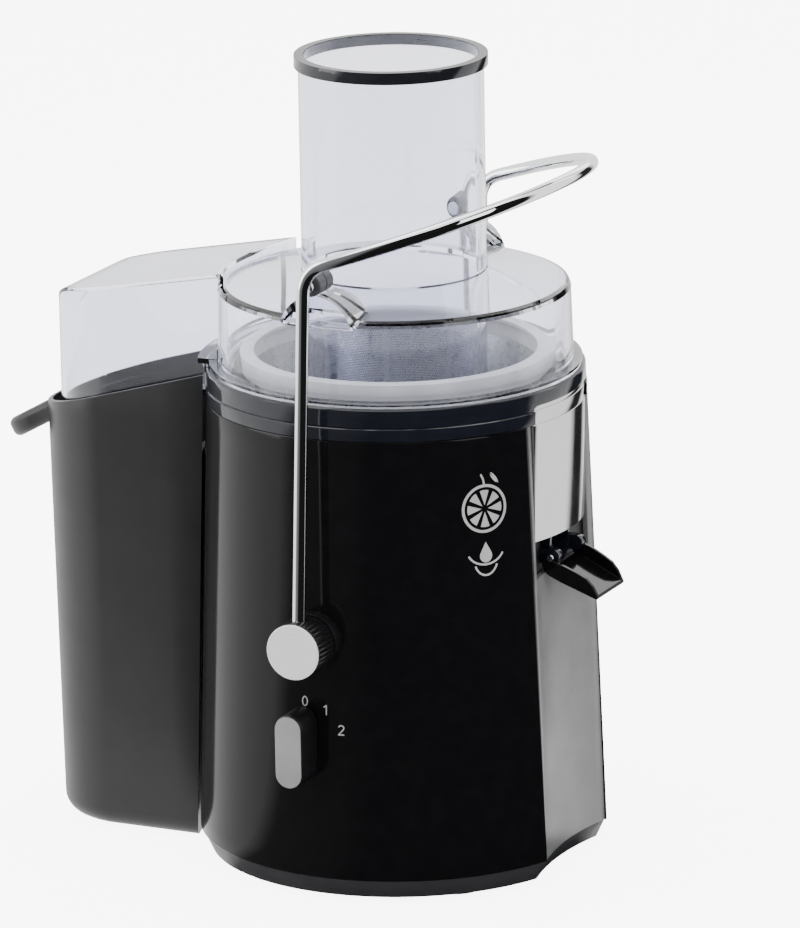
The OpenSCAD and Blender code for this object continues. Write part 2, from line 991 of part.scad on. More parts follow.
// clear lid with its feed tube, latch domes and the pulp hood
module lid() {
  color([0.75, 0.80, 0.88, 0.45])
    difference() {
      union() {
        rotate_extrude($fn = 180)
          polygon([[lid_r - clear_t, bowl_top - 3.9], [lid_r - 0.3, bowl_top - 3.9],
            [lid_r - 0.3, bowl_top + 0.1], [86, bowl_top + 0.1], [86, bowl_top + 2.6],
            [lid_r + 1, bowl_top + 2.6], [lid_r, lid_top - 3], [lid_r - 1, lid_top - 0.8],
            [lid_r - 3, lid_top], [tube_r, tube_base], [tube_r, tube_top - 0.4],
            [tube_r - clear_t, tube_top - 0.4], [tube_r - clear_t, tube_low], [tube_r, tube_low],
            [tube_r, tube_base - clear_t], [lid_r - 3, lid_top - clear_t]]);
        difference() {
          hood_solid(0, 0);
          hood_solid(2, 5);
          translate([0, 0, 100])
            cylinder(r = lid_r - 2, h = 200);
          translate([0, 0, 100])
            cylinder(r = 88.3, h = bowl_top - 99.9);
        }
        intersection() {
          ring(lid_r - 0.3, lid_r - 2.4, lid_top - 6, 300);
          hood_solid(0, 0);
        }
        intersection() {
          ring(91, lid_r - 1, bowl_top + 0.2, bowl_top + 2.6);
          translate([-120, -hood_half + 0.5, 0])
            cube([60, 2 * hood_half - 1, 300]);
        }
        for (s = [-1, 1])
          difference() {
            translate([0, s * 74, dome_top - dome_r])
              rotate([90, 0, 0])
                cylinder(r = dome_r, h = 20, center = true);
            translate([-30, -100, 200])
              cube([60, 200, lid_top - 3 - 200]);
          }
      }
      difference() {
        translate([-100, -33, bowl_top + 8])
          cube([60, 66, lid_top - bowl_top - 12]);
        translate([0, 0, 200])
          cylinder(r = lid_r - 3.5, h = 100);
        hood_beyond();
      }
    }
}

// region outside the lid wall that the pulp window must not touch
module hood_beyond() {
  difference() {
    translate([-130, -60, 190])
      cube([120, 120, 120]);
    translate([0, 0, 180])
      cylinder(r = lid_r + 3, h = 140);
  }
}

// dark collar on the feed tube
module tube_collar() {
  color([0.08, 0.08, 0.10])
    difference() {
      union() {
        ring(44.4, tube_r + 0.02, tube_top - 5.5, tube_top);
        ring(44.4, tube_r - clear_t, tube_top - 0.35, tube_top);
      }
    }
}

// half width of the container at a height
function pulp_w(z) = pulp_half - 3.2 + 3.4 * (z - 14) / 218;

// solid of the container between its floor and the sloping rim, shifted inwards by inset
module pulp_solid(inset, z0, over) {
  x0 = -pulp_end - pulp_half - 5;
  difference() {
    intersection() {
      union() {
        translate([-pulp_end, 0, 0])
          rotate_extrude($fn = 120)
            polygon([[0, z0], [pulp_w(0) - 10 - inset, z0], [pulp_w(0) - 4 - inset, 4 + z0 * 0.4],
              [pulp_w(14) - inset, 14], [pulp_w(260) - inset, 260], [0, 260]]);
        rotate([90, 0, 90])
          translate([0, 0, -pulp_end])
            linear_extrude(pulp_end - 60)
              polygon([[10 - pulp_w(0) + inset, z0], [pulp_w(0) - 10 - inset, z0],
                [pulp_w(0) - 4 - inset, 4 + z0 * 0.4], [pulp_w(14) - inset, 14],
                [pulp_w(260) - inset, 260], [inset - pulp_w(260), 260], [inset - pulp_w(14), 14],
                [4 - pulp_w(0) + inset, 4 + z0 * 0.4]]);
      }
      rotate([90, 0, 0])
        translate([0, 0, -60])
          linear_extrude(120)
            polygon([[x0, 0], [-60, 0], [-60, rim_z(-60) + over], [x0, rim_z(x0) + over]]);
    }
    cylinder(r1 = foot_r + 1.4 + inset, r2 = top_r + 1.2 + inset, h = 236, $fn = 180);
  }
}

// pulp container with its pull handle
module pulp_container() {
  color([0.10, 0.10, 0.11])
    difference() {
      union() {
        pulp_solid(0, 2, 0);
        translate([-pulp_end - pulp_half + 5, 0, rim_z(-pulp_end - pulp_half) + 0.6])
          rotate([0, -29, 0])
            translate([0, 0, -9])
              linear_extrude(9.5) {
                translate([-14, -19])
                  square([14, 38]);
                translate([-14, 0])
                  circle(r = 19);
              }
      }
      pulp_solid(pulp_t, 4.4, 10);
      translate([-98, -pulp_half + pulp_t, 190])
        cube([40, 2 * (pulp_half - pulp_t), 80]);
    }
}

housing_shell();
front_panel();
rear_cover();
side_panel();
chute_panel();
base_plate();
foot(315);  // foot_front_right
foot(225);  // foot_front_left
foot(45);  // foot_rear_right
foot(135);  // foot_rear_left
base_screws();
bowl_seat();
cord_gland();
pivot_boss(-1);  // pivot_boss_front
pivot_boss(1);  // pivot_boss_rear
safety_switch();
stator_core();
field_windings();
upper_bracket();
lower_bracket();
bearing(119);  // upper_bearing
bearing(47.7);  // lower_bearing
motor_bushes();
motor_screws();
brush_holders();
rotary_switch();
juice_bowl();
shaft_seal();
spout_pins();
juice_spout();
locking_arm();
pivot_hub(-1);  // pivot_hub_front
pivot_hub(1);  // pivot_hub_rear
pivot_cap(-1);  // pivot_cap_front
pivot_cap(1);  // pivot_cap_rear
pivot_pin(-1);  // pivot_pin_front
pivot_pin(1);  // pivot_pin_rear
lock_cam();
roller_axle(-1);  // roller_axle_front
roller_axle(1);  // roller_axle_rear
roller(-1);  // roller_front
roller(1);  // roller_rear
speed_knob();
knob_face();
switch_shaft();
basket_frame();
sieve_mesh();
grater_disc();
centre_cap();
drive_coupling();
motor_shaft();
rotor_core();
rotor_windings();
commutator();
cooling_fan();
lid();
tube_collar();
pulp_container();
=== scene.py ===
# Centrifugal juicer: the looks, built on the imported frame. Lengths in the tables are millimetres.
import json
import math

import bmesh
import bpy
from mathutils import Matrix, Vector


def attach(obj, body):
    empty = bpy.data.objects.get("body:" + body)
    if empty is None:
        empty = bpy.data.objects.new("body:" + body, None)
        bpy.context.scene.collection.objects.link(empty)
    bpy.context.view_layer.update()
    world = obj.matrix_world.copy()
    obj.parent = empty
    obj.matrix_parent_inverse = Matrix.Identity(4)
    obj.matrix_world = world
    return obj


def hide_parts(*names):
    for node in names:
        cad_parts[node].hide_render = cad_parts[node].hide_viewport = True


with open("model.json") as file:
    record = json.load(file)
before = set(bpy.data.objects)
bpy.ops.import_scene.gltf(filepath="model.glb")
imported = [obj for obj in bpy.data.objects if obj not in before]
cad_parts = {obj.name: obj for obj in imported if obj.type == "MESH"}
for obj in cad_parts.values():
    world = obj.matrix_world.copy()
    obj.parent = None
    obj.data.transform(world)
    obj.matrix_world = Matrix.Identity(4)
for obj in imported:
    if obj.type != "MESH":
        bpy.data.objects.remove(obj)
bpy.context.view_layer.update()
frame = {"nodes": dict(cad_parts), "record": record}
NODES = frame["nodes"]
MM = 0.001

# housing: a cone from FOOT_R at PANEL_LOW to TOP_R at PANEL_TOP
FOOT_R, TOP_R, PANEL_LOW, PANEL_TOP = 95.0, 88.0, 12.0, 217.6
# both panels end this far from the XZ plane, on the container's side and on the spout's
REAR_EDGE, SPOUT_EDGE, PANEL_T = 40.0, 33.5, 2.5
PIVOT_Z, ROLLER_Z = 124.4, 289.0
KNOB_X, KNOB_Z, KNOB_FACE_Y = -5.0, 75.5, 111.0
# container: half width, distance of its round end's centre, wall, gap to the housing
PULP_HALF, PULP_END, PULP_T, PULP_GAP = 41.5, 135.0, 2.3, 1.3
# degrees: edges that are rounded, and edges shaded sharp before and after rounding
EDGE_ANGLE, SHARP, SHARP_ROUNDED = 38, 35, 40
FRONT, REAR = (-1, "front"), (1, "rear")


# ---------------------------------------------------------------- camera
AZIMUTH, ELEVATION, ROLL = 25.37, 15.35, -0.97
LENS, DISTANCE = 297.0, 3.5356
AIM = Vector((0.00097, 0.00046, 0.1835))


def make_camera():
    az, el, roll = math.radians(AZIMUTH), math.radians(ELEVATION), math.radians(ROLL)
    back = Vector((math.sin(az) * math.cos(el), -math.cos(az) * math.cos(el), math.sin(el)))
    right = Vector((math.cos(az), math.sin(az), 0))
    up = back.cross(right)
    x = right * math.cos(roll) + up * math.sin(roll)
    y = up * math.cos(roll) - right * math.sin(roll)
    data = bpy.data.cameras.new("camera")
    data.lens = LENS
    data.sensor_width = 36
    data.clip_end = 20
    cam = bpy.data.objects.new("camera", data)
    bpy.context.scene.collection.objects.link(cam)
    place = Matrix((x, y, back)).transposed().to_4x4()
    place.translation = AIM + back * DISTANCE
    cam.matrix_world = place
    bpy.context.scene.camera = cam


make_camera()


# ---------------------------------------------------------------- materials
class Mat:
    """A node material with short calls for the usual nodes."""

    def __init__(self, name):
        self.m = bpy.data.materials.new(name)
        self.m.use_nodes = True
        self.t = self.m.node_tree
        self.t.nodes.clear()
        self.out = self.n("ShaderNodeOutputMaterial")
        self.co = self.n("ShaderNodeTexCoord").outputs["Object"]

    def n(self, kind, **values):
        node = self.t.nodes.new(kind)
        for k, v in values.items():
            if k in node.inputs.keys():
                node.inputs[k].default_value = v
            else:
                setattr(node, k, v)
        return node

    def link(self, a, b):
        self.t.links.new(a, b)

    def shader(self, color, rough, **values):
        p = self.n("ShaderNodeBsdfPrincipled")
        p.inputs["Base Color"].default_value = (*color, 1)
        p.inputs["Roughness"].default_value = rough
        for k, v in values.items():
            p.inputs[k.replace("_", " ")].default_value = v
        self.p = p
        self.link(p.outputs[0], self.out.inputs["Surface"])
        return p

    def noise(self, scale, detail, rough=0.5):
        t = self.n("ShaderNodeTexNoise", Scale=scale, Detail=detail, Roughness=rough)
        self.link(self.co, t.inputs["Vector"])
        return t.outputs[0]

    def rough(self, value, a, b):
        """Roughness a to b, where value goes from 0.3 to 0.7."""
        r = self.n("ShaderNodeMapRange")
        for i, v in enumerate((0.3, 0.7, a, b)):
            r.inputs[i + 1].default_value = v
        self.link(value, r.inputs[0])
        self.link(r.outputs[0], self.p.inputs["Roughness"])

    def tint(self, value, c0, c1, lo=0.3, hi=0.7):
        """Base colour c0 to c1, where value goes from lo to hi."""
        r = self.n("ShaderNodeValToRGB")
        r.color_ramp.elements[0].position = lo
        r.color_ramp.elements[0].color = (*c0, 1)
        r.color_ramp.elements[1].position = hi
        r.color_ramp.elements[1].color = (*c1, 1)
        self.link(value, r.inputs[0])
        self.link(r.outputs[0], self.p.inputs["Base Color"])

    def bump(self, value, strength, distance, also=None):
        b = self.n("ShaderNodeBump", Strength=strength, Distance=distance)
        self.link(value, b.inputs["Height"])
        if also is not None:
            self.link(also, b.inputs["Normal"])
        self.link(b.outputs[0], self.p.inputs["Normal"])
        return b.outputs[0]


def gloss(name, color, lo, hi, spec=0.35):
    """Polished moulded plastic: faint orange peel, fine dust and handling marks."""
    k = Mat(name)
    k.shader(color, lo, Specular_IOR_Level=spec)
    k.rough(k.noise(26, 6, rough=0.65), lo, hi)
    k.tint(k.noise(140, 5), color, tuple(c * 1.25 + 0.0006 for c in color), 0.45, 0.85)
    first = k.bump(k.noise(90, 2), 0.05, 0.0003)
    k.bump(k.noise(2600, 2), 0.03, 0.00004, first)
    return k.m


def satin(name, color, lo=0.36, hi=0.5, grain=2400, depth=0.12, spec=0.4):
    """Spark-eroded moulded plastic with a fine grain."""
    k = Mat(name)
    k.shader(color, lo, Specular_IOR_Level=spec)
    k.rough(k.noise(18, 6, rough=0.6), lo, hi)
    k.tint(k.noise(60, 6), tuple(c * 0.9 for c in color), tuple(c * 1.12 for c in color))
    first = k.bump(k.noise(grain, 3), depth, 0.00006)
    k.bump(k.noise(40, 2), 0.03, 0.0004, first)
    return k.m


def metal(name, color, lo, hi, depth=0.05, fine=900):
    """Metal with fine marks and a slightly uneven shine."""
    k = Mat(name)
    k.shader(color, lo, Metallic=1.0)
    k.rough(k.noise(60, 5), lo, hi)
    k.tint(k.noise(35, 4), tuple(c * 0.93 for c in color), color)
    k.bump(k.noise(fine, 3), depth, 0.00003)
    return k.m


def rings(name, color, lo, hi, z, pitch, depth, metallic):
    """Metal or plastic turned on a lathe: circular marks round an axis along Y at height z."""
    k = Mat(name)
    k.shader(color, lo, Metallic=metallic)
    move = k.n("ShaderNodeMapping")
    move.inputs["Location"].default_value = (0, 0, -z * MM)
    move.inputs["Scale"].default_value = (1, 0, 1)
    k.link(k.co, move.inputs["Vector"])
    length = k.n("ShaderNodeVectorMath", operation="LENGTH")
    k.link(move.outputs[0], length.inputs[0])
    t = k.n("ShaderNodeTexNoise", Scale=pitch, Detail=2.0)
    t.noise_dimensions = "1D"
    k.link(length.outputs["Value"], t.inputs["W"])
    k.rough(t.outputs[0], lo, hi)
    k.tint(k.noise(40, 4), tuple(c * 0.95 for c in color), color)
    k.bump(t.outputs[0], depth, 0.00003)
    return k.m


def rubber(name, color):
    k = Mat(name)
    k.shader(color, 0.6, Specular_IOR_Level=0.3)
    k.rough(k.noise(70, 5), 0.5, 0.75)
    k.tint(k.noise(150, 5), color, tuple(c * 1.6 + 0.002 for c in color))
    k.bump(k.noise(1500, 3), 0.2, 0.00008)
    return k.m


def clear(name, tint, rough=0.015):
    """Clear moulded styrene: glass to the eye, and open to light so what is inside is lit."""
    k = Mat(name)
    p = k.shader(tint, rough, Transmission_Weight=1.0, IOR=1.46)
    k.rough(k.noise(30, 5), rough, rough + 0.03)
    k.bump(k.noise(45, 2), 0.006, 0.0003)
    path = k.n("ShaderNodeLightPath")
    see = k.n("ShaderNodeBsdfTransparent")
    see.inputs["Color"].default_value = (0.95, 0.95, 0.97, 1)
    mix = k.n("ShaderNodeMixShader")
    k.link(path.outputs["Is Shadow Ray"], mix.inputs[0])
    k.link(p.outputs[0], mix.inputs[1])
    k.link(see.outputs[0], mix.inputs[2])
    k.link(mix.outputs[0], k.out.inputs["Surface"])
    return k.m


def windings(name, color):
    """Enamelled wire laid in rows."""
    k = Mat(name)
    k.shader(color, 0.3, Metallic=1.0)
    w = k.n("ShaderNodeTexWave", Scale=1400.0, Distortion=1.2, Detail=2.0)
    w.bands_direction = "Z"
    k.link(k.co, w.inputs["Vector"])
    k.tint(w.outputs[1], tuple(c * 0.5 for c in color), color, 0.2, 0.8)
    k.rough(k.noise(90, 4), 0.22, 0.4)
    k.bump(w.outputs[1], 0.5, 0.0002)
    return k.m


def laminations(name, color):
    """A stack of thin steel sheets."""
    k = Mat(name)
    k.shader(color, 0.4, Metallic=1.0)
    w = k.n("ShaderNodeTexWave", Scale=1000.0, Distortion=0.1)
    w.bands_direction = "Z"
    k.link(k.co, w.inputs["Vector"])
    k.tint(w.outputs[1], tuple(c * 0.45 for c in color), color, 0.1, 0.5)
    k.rough(k.noise(60, 4), 0.3, 0.5)
    k.bump(w.outputs[1], 0.4, 0.0001)
    return k.m


def sieve(name, color):
    """Thin steel sheet with rows of small holes, laid out round the Z axis."""
    pitch, count, hole = 1.15, 300, 0.36
    k = Mat(name)
    p = k.shader(color, 0.25, Metallic=1.0)
    xyz = k.n("ShaderNodeSeparateXYZ")
    k.link(k.co, xyz.inputs[0])

    def math_node(op, *values):
        m = k.n("ShaderNodeMath", operation=op)
        for i, v in enumerate(values):
            if isinstance(v, (int, float)):
                m.inputs[i].default_value = v
            else:
                k.link(v, m.inputs[i])
        return m.outputs[0]

    turn = math_node("ARCTAN2", xyz.outputs[1], xyz.outputs[0])
    u = math_node("MULTIPLY", turn, count / (2 * math.pi))
    v = math_node("MULTIPLY", xyz.outputs[2], 1 / (pitch * MM))
    row = math_node("MULTIPLY", math_node("MODULO", math_node("FLOOR", v), 2.0), 0.5)
    fu = math_node("SUBTRACT", math_node("FRACT", math_node("ADD", math_node("ADD", u, row), 600.0)), 0.5)
    fv = math_node("SUBTRACT", math_node("FRACT", v), 0.5)
    d = math_node("SQRT", math_node("ADD", math_node("MULTIPLY", fu, fu), math_node("MULTIPLY", fv, fv)))
    solid = math_node("GREATER_THAN", d, hole)
    k.link(solid, p.inputs["Alpha"])
    k.rough(k.noise(300, 4), 0.2, 0.38)
    k.bump(math_node("MINIMUM", d, 0.45), 0.4, 0.0002)
    return k.m


M = {
    "black_gloss": gloss("black_gloss", (0.004, 0.004, 0.0046), 0.06, 0.13, 0.2),
    "rear_black": gloss("rear_black", (0.0065, 0.0065, 0.0072), 0.12, 0.2),
    "bowl_dark": gloss("bowl_dark", (0.008, 0.009, 0.014), 0.05, 0.1, 0.5),
    "collar_dark": gloss("collar_dark", (0.01, 0.011, 0.014), 0.08, 0.15, 0.5),
    "shell": satin("shell", (0.012, 0.012, 0.014)),
    # grey base colour of the side panel: a painted reflection of a bright softbox on what is black satin
    # plastic
    "grey_side": satin("grey_side", (0.15, 0.15, 0.153), 0.26, 0.36, 2400, 0.05, 0.4),
    "skirt_grey": satin("skirt_grey", (0.03, 0.03, 0.033), 0.34, 0.46),
    "pulp_dark": satin("pulp_dark", (0.014, 0.014, 0.0152), 0.3, 0.42, 2200, 0.1, 0.4),
    "knob_black": satin("knob_black", (0.008, 0.008, 0.009), 0.22, 0.32, 1800, 0.06),
    "switch_plastic": satin("switch_plastic", (0.02, 0.02, 0.024), 0.4, 0.55),
    "print_grey": satin("print_grey", (0.42, 0.42, 0.43), 0.4, 0.5, 2400, 0.03),
    "roller_grey": satin("roller_grey", (0.05, 0.05, 0.054), 0.3, 0.42),
    "white_nylon": satin("white_nylon", (0.6, 0.6, 0.55), 0.4, 0.5),
    "basket_white": satin("basket_white", (0.78, 0.78, 0.76), 0.2, 0.3, 1600, 0.04, 0.5),
    "rod_chrome": metal("rod_chrome", (0.86, 0.87, 0.89), 0.035, 0.08, 0.02, 700),
    "bright_steel": metal("bright_steel", (0.8, 0.81, 0.83), 0.12, 0.22),
    "screw_steel": metal("screw_steel", (0.6, 0.6, 0.62), 0.25, 0.4),
    "bracket_alloy": metal("bracket_alloy", (0.62, 0.62, 0.64), 0.35, 0.55, 0.25, 1500),
    "plate_silver": metal("plate_silver", (0.6, 0.6, 0.61), 0.07, 0.13, 0.02, 60),
    "cap_silver": rings("cap_silver", (0.86, 0.86, 0.87), 0.24, 0.34, PIVOT_Z, 2600, 0.04, 0.1),
    "face_grey": satin("face_grey", (0.27, 0.27, 0.272), 0.3, 0.42, 2600, 0.06),
    "lamination": laminations("lamination", (0.4, 0.4, 0.42)),
    "copper": windings("copper", (0.8, 0.36, 0.16)),
    "sieve_steel": sieve("sieve_steel", (0.7, 0.71, 0.73)),
    "grater_steel": metal("grater_steel", (0.72, 0.73, 0.75), 0.2, 0.34, 0.1, 1200),
    "clear_tint": clear("clear_tint", (0.87, 0.88, 0.95)),
    "rubber_black": rubber("rubber_black", (0.012, 0.012, 0.012)),
}
SLOTS = {s["node"]: s["material_slot"] for s in frame["record"]["subparts"]}

for name, obj in NODES.items():
    key = "grater_steel" if name == "grater_disc" else SLOTS.get(name, "shell")
    for s in range(max(1, len(obj.material_slots))):
        if not obj.material_slots:
            obj.data.materials.append(M[key])
        obj.material_slots[s].link = "OBJECT"
        obj.material_slots[s].material = M[key]


# ---------------------------------------------------------------- geometry helpers (millimetres)
def wall_r(z):
    return FOOT_R + (TOP_R - FOOT_R) * (z - PANEL_LOW) / (PANEL_TOP - PANEL_LOW)


def link(name, bm, key=None):
    """A mesh object in metres from a bmesh in millimetres."""
    bmesh.ops.recalc_face_normals(bm, faces=bm.faces[:])
    bmesh.ops.scale(bm, vec=(MM, MM, MM), verts=bm.verts[:])
    me = bpy.data.meshes.new(name)
    bm.to_mesh(me)
    bm.free()
    for f in me.polygons:
        f.use_smooth = True
    me.set_sharp_from_angle(angle=math.radians(SHARP))
    o = bpy.data.objects.new(name, me)
    bpy.context.scene.collection.objects.link(o)
    if key:
        me.materials.append(M[key])
    return o


def piece(o, body, slot, *nodes):
    """Hands over a finished mesh: attaches it to the body it rides and hides the CAD nodes it stands for;
    the slot argument is not used.
    """
    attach(o, body)
    if nodes:
        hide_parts(*nodes)


def apply(o):
    """Turns the modifiers of o into its mesh."""
    bpy.context.view_layer.update()
    dg = bpy.context.evaluated_depsgraph_get()
    me = bpy.data.meshes.new_from_object(o.evaluated_get(dg))
    o.modifiers.clear()
    o.data = me


def boolean(o, other, op="DIFFERENCE"):
    """Cuts other out of o, or joins it on, and removes it."""
    m = o.modifiers.new("b", "BOOLEAN")
    m.operation, m.object, m.solver = op, other, "EXACT"
    apply(o)
    bpy.data.objects.remove(other)
    return o


def rounded(o, width, segments=3, angle=EDGE_ANGLE):
    """Rounds the edges of o in its mesh."""
    m = o.modifiers.new("round", "BEVEL")
    m.width, m.segments, m.limit_method = width * MM, segments, "ANGLE"
    m.angle_limit = math.radians(angle)
    m.miter_outer = "MITER_ARC"
    apply(o)
    for f in o.data.polygons:
        f.use_smooth = True
    o.data.set_sharp_from_angle(angle=math.radians(SHARP_ROUNDED))
    return o


def lathe(profile, segments, z=None, ribs=0, depth=0.0):
    """A closed (radius, height) outline turned round Z, or, where z is given, round Y at that height."""
    bm = bmesh.new()
    cols = []
    for i in range(segments):
        t = 2 * math.pi * i / segments
        cut = depth * (0.5 + 0.5 * math.cos(ribs * t)) ** 2 if ribs else 0
        col = []
        for r, h in profile:
            u, v = ((r - cut * (r > 0)) * f(t) for f in (math.cos, math.sin))
            col.append(bm.verts.new((u, v, h) if z is None else (u, h, z + v)))
        cols.append(col)
    n = len(profile)
    for i in range(segments):
        a, b = cols[i], cols[(i + 1) % segments]
        for j in range(n):
            k = (j + 1) % n
            if profile[j][0] < 1e-6 and profile[k][0] < 1e-6:
                continue
            bm.faces.new((a[j], a[k], b[k], b[j]))
    bmesh.ops.remove_doubles(bm, verts=bm.verts[:], dist=1e-4)
    return bm


def prism(outline, place, low, high):
    """A flat outline drawn out between low and high; place(u, v, w) gives the point in space."""
    bm = bmesh.new()
    a = [bm.verts.new(place(u, v, low)) for u, v in outline]
    b = [bm.verts.new(place(u, v, high)) for u, v in outline]
    bm.faces.new(a)
    bm.faces.new(b[::-1])
    n = len(outline)
    for i in range(n):
        bm.faces.new((a[i], b[i], b[(i + 1) % n], a[(i + 1) % n]))
    return bm


def loft(loops):
    """Closed loops of equal length joined one to the next, and capped."""
    bm = bmesh.new()
    rows = [[bm.verts.new(p) for p in loop] for loop in loops]
    n = len(rows[0])
    for a, b in zip(rows, rows[1:]):
        for i in range(n):
            bm.faces.new((a[i], a[(i + 1) % n], b[(i + 1) % n], b[i]))
    bm.faces.new(rows[0])
    bm.faces.new(rows[-1][::-1])
    return bm


def sweep(path, radius, segments=28):
    """A round bar along a path of points."""
    pts = [Vector(p) for p in path]
    loops, side = [], Vector((1, 0, 0))
    for i, p in enumerate(pts):
        d = (pts[min(i + 1, len(pts) - 1)] - pts[max(i - 1, 0)]).normalized()
        side = (side - d * side.dot(d)).normalized()
        up = d.cross(side)
        loops.append([p + (side * math.cos(t) + up * math.sin(t)) * radius
                      for t in (2 * math.pi * k / segments for k in range(segments))])
    return loft(loops)


def soften(name, width):
    """Rounds the edges of a CAD node where it is shown."""
    o = NODES[name]
    w = o.modifiers.new("weld", "WELD")
    w.merge_threshold = 2e-6
    d = o.modifiers.new("flat", "DECIMATE")
    d.decimate_type = "DISSOLVE"
    d.angle_limit = math.radians(0.4)
    b = o.modifiers.new("round", "BEVEL")
    b.width, b.segments, b.limit_method = width * MM, 3, "ANGLE"
    b.angle_limit = math.radians(EDGE_ANGLE)
    b.harden_normals = True


def on_side(side, outline):
    """A (radius, distance from the middle) outline for a piece at the front (-1) or the rear (1)."""
    return [(r, h * side) for r, h in outline]


# ---------------------------------------------------------------- locking arm
def arm_path():
    """Centre line of the bent rod: straight legs, a small bend and a tilted half circle over the lid."""
    side, low_z, bend_y, bend_z, tilt = 107.2, 131, 95.2, 297.4, math.radians(18.5)

    def loop(t):
        return Vector((bend_y * math.sin(t) * math.cos(tilt), -bend_y * math.cos(t),
                       bend_z + bend_y * math.sin(t) * math.sin(tilt)))

    low, corner = Vector((0, -side, low_z)), Vector((0, -bend_y, bend_z))
    reach = 11.0
    start = corner + (low - corner).normalized() * reach
    t0 = reach / bend_y
    n, turns = 12, 40
    half = [low.lerp(start, k / n) for k in range(n)]
    end = loop(t0)
    for k in range(n + 1):
        u = k / n
        half.append(start * (1 - u) ** 2 + corner * 2 * u * (1 - u) + end * u * u)
    half += [loop(t0 + (math.pi / 2 - t0) * k / turns) for k in range(1, turns)]
    mirror = [Vector((p.x, -p.y, p.z)) for p in reversed(half)]
    return half + [loop(math.pi / 2)] + mirror


piece(link("arm_rod", sweep(arm_path(), 3.0), "rod_chrome"), "arm", "rod_chrome", "locking_arm")

HUB = [(0, 97.05), (12.4, 97.05), (13.1, 97.7), (13.1, 112.3), (12.5, 113.0), (0, 113.0)]
CAP = [(0, 113.1), (12.6, 113.1), (12.85, 113.4), (12.85, 114.1), (12.6, 114.45), (12.1, 114.58),
       (11.2, 114.5), (6, 114.42), (0, 114.4)]
for side, end in (FRONT, REAR):
    hub = lathe(on_side(side, HUB), 288, PIVOT_Z, 36, 0.45)
    piece(link("hub_" + end, hub, "knob_black"), "arm", "knob_black", "pivot_hub_" + end)
    cap = lathe(on_side(side, CAP), 160, PIVOT_Z)
    piece(link("cap_" + end, cap, "cap_silver"), "arm", "cap_silver", "pivot_cap_" + end)


# ---------------------------------------------------------------- speed knob
def oblong(half_w, half_h):
    """Outline with straight sides and round ends."""
    n, out = 24, []
    for start, end in ((0, half_h - half_w), (math.pi, half_w - half_h)):
        for k in range(n + 1):
            t = start + math.pi * k / n
            out.append((half_w * math.cos(t), end + half_w * math.sin(t)))
    return out


def on_knob(u, v, w):
    return (KNOB_X + u, w, KNOB_Z + v)


grip = prism(oblong(6.85, 17.3), on_knob, -wall_r(KNOB_Z) - 1.0, 1.1 - KNOB_FACE_Y)
piece(rounded(link("knob_grip", grip, "knob_black"), 0.7), "knob", "knob_black", "speed_knob")
plate = prism(oblong(6.35, 16.8), on_knob, 1.0 - KNOB_FACE_Y, -KNOB_FACE_Y)
piece(rounded(link("knob_plate", plate, "face_grey"), 0.25, 2), "knob", "face_grey", "knob_face")


# ---------------------------------------------------------------- front panel, numerals and emblem
def cone_point(turn, z, out=0.0):
    """A point at an angle and a height, this far outside the housing's wall."""
    r = wall_r(z) + out
    return (r * math.cos(turn), r * math.sin(turn), z)


def panel_patch(sign):
    """The wrap-around panel; sign -1 is the front one and 1 the rear cover."""
    cols, rows = 150, 26
    outer, inner = [], []
    for j in range(rows + 1):
        z = PANEL_LOW + (PANEL_TOP - PANEL_LOW) * j / rows
        r = wall_r(z)
        left = math.pi - math.asin(REAR_EDGE / r)
        right = math.asin(SPOUT_EDGE / r)
        span = [right + (left - right) * i / cols for i in range(cols + 1)]
        outer.append([cone_point(sign * a, z) for a in span])
        inner.append([cone_point(sign * a, z, -PANEL_T) for a in span])
    bm = bmesh.new()
    o = [[bm.verts.new(p) for p in row] for row in outer]
    n = [[bm.verts.new(p) for p in row] for row in inner]
    for j in range(rows):
        for i in range(cols):
            bm.faces.new((o[j][i], o[j][i + 1], o[j + 1][i + 1], o[j + 1][i]))
            bm.faces.new((n[j][i], n[j + 1][i], n[j + 1][i + 1], n[j][i + 1]))
        for i in (0, cols):
            bm.faces.new((o[j][i], o[j + 1][i], n[j + 1][i], n[j][i]))
    for i in range(cols):
        for j in (0, rows):
            bm.faces.new((o[j][i], o[j][i + 1], n[j][i + 1], n[j][i]))
    return bm


front = rounded(link("panel_front", panel_patch(-1), "black_gloss"), 0.9, 3)
piece(front, "housing", "black_gloss", "front_panel")
back = link("panel_rear", panel_patch(1), "rear_black")
AIR_SLOTS, AIR_PITCH, AIR_Z = 7, 8, 55
for i in range(AIR_SLOTS):
    x = (i - (AIR_SLOTS - 1) / 2) * AIR_PITCH
    boolean(back, link("cut", prism(oblong(1.5, 13), lambda u, v, w: (x + u, w, AIR_Z + v), 60, 110)))
piece(rounded(back, 0.7, 2), "housing", "rear_black", "rear_cover")


